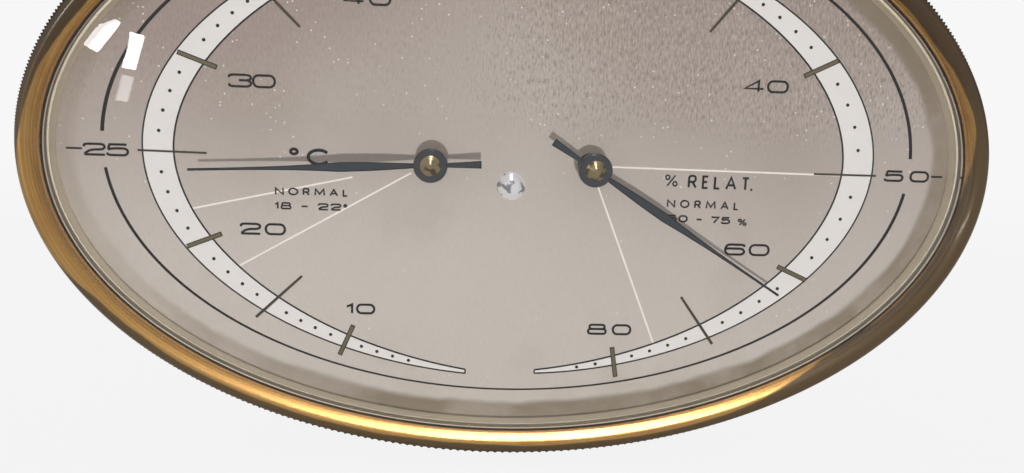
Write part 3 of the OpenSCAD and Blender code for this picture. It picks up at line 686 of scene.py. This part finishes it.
def makeTicks():
    bars, shades, hairs, needles, dots = Print(4), Print(2), Print(3), Print(3), Print(1.6)
    for outer, inner in ticks["bars"]:
        bars.stroke([outer, inner], ticks["barWidth"])
        past = (Vector(outer) - Vector(inner)).normalized() * ticks["barEdge"]
        wide = ticks["barWidth"] + ticks["barEdge"] * 2
        shades.stroke([Vector(outer) + past, Vector(inner) - past], wide)
    for outer, inner in ticks["hairs"]:
        hairs.stroke([outer, inner], ticks["hairWidth"])
    for outer, inner in ticks["needles"]:
        line = Vector(inner) - Vector(outer)
        across = Vector((-line.y, line.x)).normalized()
        half = [0.5 * w for w in (ticks["needleWidth"], ticks["needleWidth"], ticks["needlePoint"])]
        spots = [Vector(outer), Vector(outer) + line * ticks["needleBend"], Vector(inner)]
        left = [p + across * h for p, h in zip(spots, half)]
        needles.prism(left, [p - across * h for p, h in zip(spots, half)])
    values = [("left", v) for v in range(6, 45) if v % 5]
    values += [("right", v) for v in range(14, 86, 2) if v % 10]
    for side, value in values:
        outer, inner = (Vector(crossing(side, bearing(side, value), edge)) for edge in ("outer", "inner"))
        spot = (outer + inner) / 2
        dots.dot(spot.x, spot.y, min(ticks["dot"], ticks["dotShare"] * (outer - inner).length))
    bars.make("scaleBars", "inkOlive")
    shades.make("barShades", "inkBlack")
    hairs.make("scaleHairs", "inkDark")
    needles.make("scaleNeedles", "inkDark")
    dots.make("scaleDots", "inkBlack")


makeTicks()

comfort = {
    "width": 0.3,
    "lines": [("left", 12.75, 13.6), ("left", 30, 4.0), ("right", 0.45, 3.25), ("right", 67.8, 3.8)],
}


def makeComfortLines():  # pale rays that bound the normal ranges
    ink = Print(1)
    for side, below, hub in comfort["lines"]:
        angle = math.pi + math.radians(below) if side == "left" else -math.radians(below)
        px, pz = pivots[side]
        start = (px + hub * math.cos(angle), pz + hub * math.sin(angle))
        end = crossing(side, angle, "inner")
        ink.stroke([start, end], comfort["width"])
    ink.make("comfortLines", "lineCream")


makeComfortLines()

# Letters are strokes of one width: width against height, then lines with a corner radius
letters = {
    "0": (1.6, [([(0, 0), (1, 0), (1, 1), (0, 1)], 0.48, True)]),
    "1": (0.62, [([(0, 0.74), (0.25, 0.8), (1, 1), (1, 0)], 0, False)]),
    "2": (1.6, [([(0, 0.72), (0, 1), (1, 1), (1, 0.5), (0.3, 0.46), (0, 0.05)], 0.42, False),
                ([(0, 0), (1, 0)], 0, False)]),
    "3": (1.6, [([(0, 0.76), (0, 1), (1, 1), (1, 0.53), (0.45, 0.53)], 0.42, False),
                ([(0.5, 0.53), (1, 0.53), (1, 0), (0, 0), (0, 0.24)], 0.42, False)]),
    "4": (1.5, [([(0.74, 0), (0.74, 1), (0, 0.26), (1, 0.26)], 0, False)]),
    "5": (1.6, [([(0.95, 1), (0.12, 1), (0.04, 0.52)], 0.05, False),
                ([(0.04, 0.52), (0.3, 0.64), (1, 0.64), (1, 0), (0, 0), (0, 0.22)], 0.42, False)]),
    "6": (1.6, [([(1, 0.8), (1, 1), (0, 1), (0, 0), (1, 0), (1, 0.6), (0, 0.6), (0, 0.4)], 0.45, False)]),
    "7": (1.5, [([(0, 1), (1, 1), (0.35, 0)], 0, False)]),
    "8": (1.6, [([(0.07, 0.53), (0.93, 0.53), (0.93, 1), (0.07, 1)], 0.25, True),
                ([(0, 0), (1, 0), (1, 0.53), (0, 0.53)], 0.25, True)]),
    "A": (1.05, [([(0, 0), (0.5, 1), (1, 0)], 0, False), ([(0.2, 0.33), (0.8, 0.33)], 0, False)]),
    "E": (0.66, [([(1, 1), (0, 1), (0, 0), (1, 0)], 0, False), ([(0, 0.52), (0.85, 0.52)], 0, False)]),
    "L": (0.64, [([(0, 1), (0, 0), (1, 0)], 0, False)]),
    "M": (1.28, [([(0, 0), (0.07, 1), (0.5, 0.2), (0.93, 1), (1, 0)], 0, False)]),
    "N": (1.05, [([(0, 0), (0, 1), (1, 0), (1, 1)], 0, False)]),
    "R": (0.86, [([(0, 0), (0, 1), (0.92, 1), (0.92, 0.48), (0, 0.48)], 0.2, False),
                 ([(0.5, 0.48), (1, 0)], 0, False)]),
    "T": (0.76, [([(0, 1), (1, 1)], 0, False), ([(0.5, 1), (0.5, 0)], 0, False)]),
    "-": (1.15, [([(0, 0.48), (1, 0.48)], 0, False)]),
    ".": (0.3, [([(0, 0.02), (1, 0.02)], 0, False)]),
    " ": (0.8, []),
}
roundLetters = {  # width, then ovals as centre, half size and the degrees they span
    "O": (1.2, [(0.5, 0.5, 0.5, 0.5, 0, 360)]),
    "C": (1.35, [(0.53, 0.5, 0.53, 0.5, 38, 322)]),
    "°": (0.6, [(0.5, 0.78, 0.5, 0.19, 0, 360)]),
    "%": (1.25, [(0.16, 0.8, 0.18, 0.2, 0, 360), (0.84, 0.2, 0.18, 0.2, 0, 360)]),
}


def rounded(line, radius, closed):  # soft corners on a line of points
    if not radius:
        return line
    result = []
    for i, p in enumerate(line):
        if not closed and i in (0, len(line) - 1):
            result.append(p)
            continue
        before, after = line[i - 1], line[(i + 1) % len(line)]
        one = p + (before - p).normalized() * min(radius, (before - p).length * 0.49)
        two = p + (after - p).normalized() * min(radius, (after - p).length * 0.49)
        for k in range(6):
            t = k / 5
            pull = 1.45 * t * (1 - t)
            result.append((one * (1 - t) ** 2 + p * pull + two * t ** 2) / ((1 - t) ** 2 + pull + t ** 2))
    return result


def write(ink, text, x, z, width, height, stroke, stretch=1.0, tilt=0.0):
    widths = [(letters.get(c) or roundLetters[c])[0] * height * stretch for c in text]
    gap = (width - sum(widths)) / max(len(text) - 1, 1)
    left = x - width / 2
    for c, wide in zip(text, widths):
        low = z - height / 2 + stroke / 2 + (left - x) * tilt
        start, w, h = left + stroke / 2, max(wide - stroke, 0.01), height - stroke
        if c in letters:
            for line, radius, closed in letters[c][1]:
                spots = [Vector((start + u * w, low + v * h)) for u, v in line]
                ink.stroke(rounded(spots, radius * h, closed), stroke, closed)
        else:
            thin = stroke * (lettering["percentStroke"] if c == "%" else 1)
            for u, v, wideHalf, highHalf, a, b in roundLetters[c][1]:
                closed = b - a == 360
                x0, z0 = start + u * w, low + v * h
                ring = arc(x0, z0, wideHalf * w, highHalf * h, a, b, lettering["ovalSteps"])
                ink.stroke(ring[:-1] if closed else ring, thin, closed)
            if c == "%":
                ink.stroke([(start + 0.15 * w, low), (start + 0.85 * w, low + h)], thin)
        left += wide + gap


lettering = {
    "numbers": [
        ("30", -42.87, 11.92, 7.75, 2.25), ("25", -66.84, 0.02, 7.43, 2.14),
        ("20", -41.54, -12.61, 7.67, 2.06), ("10", -25.2, -26.16, 5.05, 1.9),
        ("40", 42.15, 13.82, 7.61, 2.15), ("50", 67.79, -0.57, 7.86, 1.98),
        ("60", 41.18, -14.1, 7.95, 2.12), ("80", 18.02, -28.92, 7.78, 2.0),
        ("40", -24.2, 25.6, 7.7, 2.1), ("20", 18.6, 28.4, 7.7, 2.1),
    ],
    "legends": [
        ("°", -36.2, 0.0, 1.65, 2.66, 0.48, 1.0), ("C", -32.35, -0.22, 3.6, 2.85, 0.52, 1.0),
        ("NORMAL", -33.39, -6.1, 12.12, 1.3, 0.26, 1.08),
        ("18 - 22°", -33.5, -8.55, 12.15, 1.22, 0.27, 0.92),
    ],
    "tilted": [
        ("%", 27.03, -2.45, 1.9, 2.15, 0.34, 0.83), ("RELAT", 35.35, -2.6, 10.6, 2.32, 0.36, 0.78),
        (".", 41.05, -2.7, 0.7, 2.32, 0.36, 1.0), ("NORMAL", 32.9, -6.45, 12.4, 1.4, 0.26, 0.97),
        ("50 - 75", 32.4, -9.0, 10.9, 1.25, 0.28, 0.8), ("%", 39.95, -9.3, 1.6, 1.35, 0.34, 0.95),
    ],
    "tilt": -0.016, "numberStroke": 0.38, "numberStretch": 1.08, "percentStroke": 0.7, "ovalSteps": 28,
}


def makeLettering():
    numbers, legends = Print(2), Print(2)
    for text, x, z, width, height in lettering["numbers"]:
        write(numbers, text, x, z, width, height, lettering["numberStroke"], lettering["numberStretch"])
    for text, x, z, width, height, stroke, stretch in lettering["legends"]:
        write(legends, text, x, z, width, height, stroke, stretch)
    for text, x, z, width, height, stroke, stretch in lettering["tilted"]:
        write(legends, text, x, z, width, height, stroke, stretch, lettering["tilt"])
    numbers.make("scaleNumbers", "inkBlack")
    legends.make("legends", "inkBlack")


makeLettering()
print("dial printed")

pointers = {
    "height": 6.0, "thickness": 0.3, "width": 1.55, "root": 0.45, "tip": 0.4, "peak": 0.38,
    "tailReach": 8.2, "tailWidth": 1.25, "tailRoot": 0.35, "eye": 1.97, "boss": 2.65, "chamfer": 0.19,
    "bladeSteps": 40, "bossSteps": 14,
    "left": {"kind": "thermometer", "reach": 38.6, "reading": 2.6},
    "right": {"kind": "hygrometer", "reach": 37.8, "reading": 32.3},
}


def halfWidth(s, reach):
    peak, root = reach * pointers["peak"], pointers["root"]
    if s < peak:
        return (root + (pointers["width"] - root) * math.sin(math.pi / 2 * s / peak)) / 2
    left = (reach - s) / (reach - peak)
    return (pointers["tip"] + (pointers["width"] - pointers["tip"]) * left ** 3) / 2


def pointerOutline(reach, shrink):  # distance along and across, once round from the tip
    boss = pointers["boss"] - shrink
    upper = []
    for k in range(pointers["bladeSteps"] + 1):
        s = reach - shrink * 0.7 - (reach - boss) * k / pointers["bladeSteps"]
        upper.append((s, max(halfWidth(s, reach) - shrink, 0.03)))
    meet = math.atan2(upper[-1][1], upper[-1][0])
    back = math.pi - math.asin(pointers["tailRoot"] / boss)
    count = pointers["bossSteps"]
    around = [meet + (back - meet) * k / count for k in range(1, count + 1)]
    upper += [(boss * math.cos(a), boss * math.sin(a)) for a in around]
    upper += [(-pointers["tailReach"] + shrink, pointers["tailWidth"] / 2 - shrink)]
    return upper + [(s, -w) for s, w in reversed(upper)]


def makePointer(side):  # the reading is the blade's angle below the level, outward from its axis
    kind, reach, reading = (pointers[side][key] for key in ("kind", "reach", "reading"))
    px, pz = pivots[side]
    turn = -math.radians(reading) if side == "right" else math.pi + math.radians(reading)
    c, s = math.cos(turn), math.sin(turn)
    front = -pointers["height"] - pointers["thickness"] / 2
    back = front + pointers["thickness"]

    def ring(outline, depth):
        return [place(px + a * c - b * s, depth, pz + a * s + b * c) for a, b in outline]

    outline = pointerOutline(reach, 0)
    eye = [pointers["eye"] * Vector(p).normalized() for p in outline]
    rings = [
        ring(eye, front), ring(pointerOutline(reach, pointers["chamfer"]), front),
        ring(outline, front + pointers["chamfer"] * 0.5), ring(outline, back), ring(eye, back),
    ]
    points, faces = skin(rings, True)
    # the flat top takes the painted sheen, the chamfers, sides and back the painted shade
    marks = [0 if i < len(outline) else 1 for i in range(len(faces))]
    node, body, slot = kind + "_pointer", kind + "_needle", "pointer_blued"
    blade = piece(kind + "Blade", points, faces, "bluedSteelSheen", body, 25, marks, "bluedEdgeShade")
    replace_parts(blade, node)


for side in ("left", "right"):
    makePointer(side)
print("pointers made")

studio = {
    "background": tone(247, 247, 247), "floor": tone(245, 245, 245), "floorSize": 6.0, "wash": 0.95,
    "fill": (0.42, 0.42, 0.42, 1), "roomFront": (0.44, 0.43, 0.41, 1), "roomBack": (0.11, 0.105, 0.1, 1),
    "key": 1.9, "keySpread": 1.8, "keyFrom": (0.015, -1.0, -0.133),
}
# Cards that only shine in glossy surfaces: direction from the dial, distance, size, lean and brightness
cards = {
    "topCard": {"toward": (0.0, -0.42, 0.9), "away": 0.6, "size": (0.085, 0.46), "lean": 0, "glow": 15.0},
    "windowCard": {
        "toward": (-0.615, -0.81, 0.187), "away": 1.03, "size": (0.33, 0.06), "lean": -31, "glow": 16.0,
    },
    "slimCard": {
        "toward": (-0.485, -0.912, 0.085), "away": 1.03, "size": (0.017, 0.062), "lean": -11, "glow": 20.0,
    },
    "faintCard": {
        "toward": (-0.497, -0.91, 0.019), "away": 1.03, "size": (0.016, 0.046), "lean": -12, "glow": 4.2,
    },
}


def makeFloor():
    half = studio["floorSize"] / 2
    mesh = bpy.data.meshes.new("floor")
    corners = [(-half, -half, 0), (half, -half, 0), (half, half, 0), (-half, half, 0)]
    mesh.from_pydata(corners, [], [(0, 1, 2, 3)])
    material, tree = finish("floorPaper")
    camera = tree.node("ShaderNodeLightPath")
    away = tree.node("ShaderNodeVectorMath", {"operation": "LENGTH"}, {0: tree.coordinates()}, out=1)
    far = tree.between(away, 0.16, 0.55)
    paper = tree.node("ShaderNodeBsdfDiffuse", None, {"Color": studio["floor"]})
    plain = tree.node("ShaderNodeEmission", None, {"Color": studio["background"], "Strength": 1.0})
    share = camera * (studio["wash"] + far * (1 - studio["wash"]))
    tree.surface(tree.node("ShaderNodeMixShader", None, {0: share, 1: paper, 2: plain}))
    mesh.materials.append(material)
    floor = bpy.data.objects.new("floor", mesh)
    bpy.context.scene.collection.objects.link(floor)
    floor.visible_shadow = False


def makeWorld():  # even fill light, a pale background for the camera, a room with a darker back in gloss
    world = bpy.data.worlds.new("studio")
    bpy.context.scene.world = world
    tree = Tree(world)
    camera = tree.node("ShaderNodeLightPath")
    glossy = tree.node("ShaderNodeLightPath", out=3)
    way = tree.node("ShaderNodeTexCoord")
    side, back, up = (tree.node("ShaderNodeSeparateXYZ", None, {"Vector": way}, out=k) for k in range(3))
    front = tree.between(up * 0.25 - back * 0.8 - side * 0.25, -0.4, 0.5)
    room = tree.colours(front, studio["roomBack"], studio["roomFront"])
    colour = tree.colours(camera, tree.colours(glossy, studio["fill"], room), studio["background"])
    made = tree.node("ShaderNodeBackground", None, {"Color": colour, "Strength": 1.0})
    tree.node("ShaderNodeOutputWorld", None, {"Surface": made})


def aim(name, lamp, where, target, lean=0):
    made = bpy.data.objects.new(name, lamp)
    made.location = where
    turn = (target - where).to_track_quat("-Z", "Y") @ Quaternion((0, 0, 1), math.radians(lean))
    made.rotation_euler = turn.to_euler()
    made.visible_camera = False
    bpy.context.scene.collection.objects.link(made)
    return made


def makeLamps():
    middle = place(0, 0, 0)
    key = bpy.data.lights.new("keyLamp", "SUN")
    key.energy = studio["key"]
    key.angle = math.radians(studio["keySpread"])
    aim("keyLamp", key, middle + Vector(studio["keyFrom"]), middle).visible_glossy = False
    for name, card in cards.items():
        lamp = bpy.data.lights.new(name, "AREA")
        lamp.shape = "RECTANGLE"
        lamp.size, lamp.size_y = card["size"]
        lamp.energy = card["glow"] * math.pi * lamp.size * lamp.size_y
        where = middle + Vector(card["toward"]).normalized() * card["away"]
        aim(name, lamp, where, middle, card["lean"]).visible_diffuse = False


def makeCamera():
    view = {
        "x": -6.61, "ahead": 150.0, "z": 15.99,
        "yaw": 2.695, "pitch": 10.857, "roll": -1.975, "lens": 31.509,
    }
    yaw, pitch, roll = (math.radians(view[k]) for k in ("yaw", "pitch", "roll"))
    forward = Vector((math.sin(yaw) * math.cos(pitch), math.cos(yaw) * math.cos(pitch), -math.sin(pitch)))
    right = Vector((math.cos(yaw), -math.sin(yaw), 0))
    down = forward.cross(right)
    level = right * math.cos(roll) + down * math.sin(roll)
    plumb = down * math.cos(roll) - right * math.sin(roll)
    data = bpy.data.cameras.new("camera")
    data.lens = view["lens"]
    data.sensor_width = 36
    data.clip_start = 0.005
    made = bpy.data.objects.new("camera", data)
    turn = Matrix((level, -plumb, -forward)).transposed().to_4x4()
    made.matrix_world = Matrix.Translation(place(view["x"], -view["ahead"], view["z"])) @ turn
    bpy.context.scene.collection.objects.link(made)
    bpy.context.scene.camera = made


makeFloor()
makeWorld()
makeLamps()
makeCamera()
bpy.context.scene.view_settings.view_transform = "Standard"
print("floor, light and camera set")
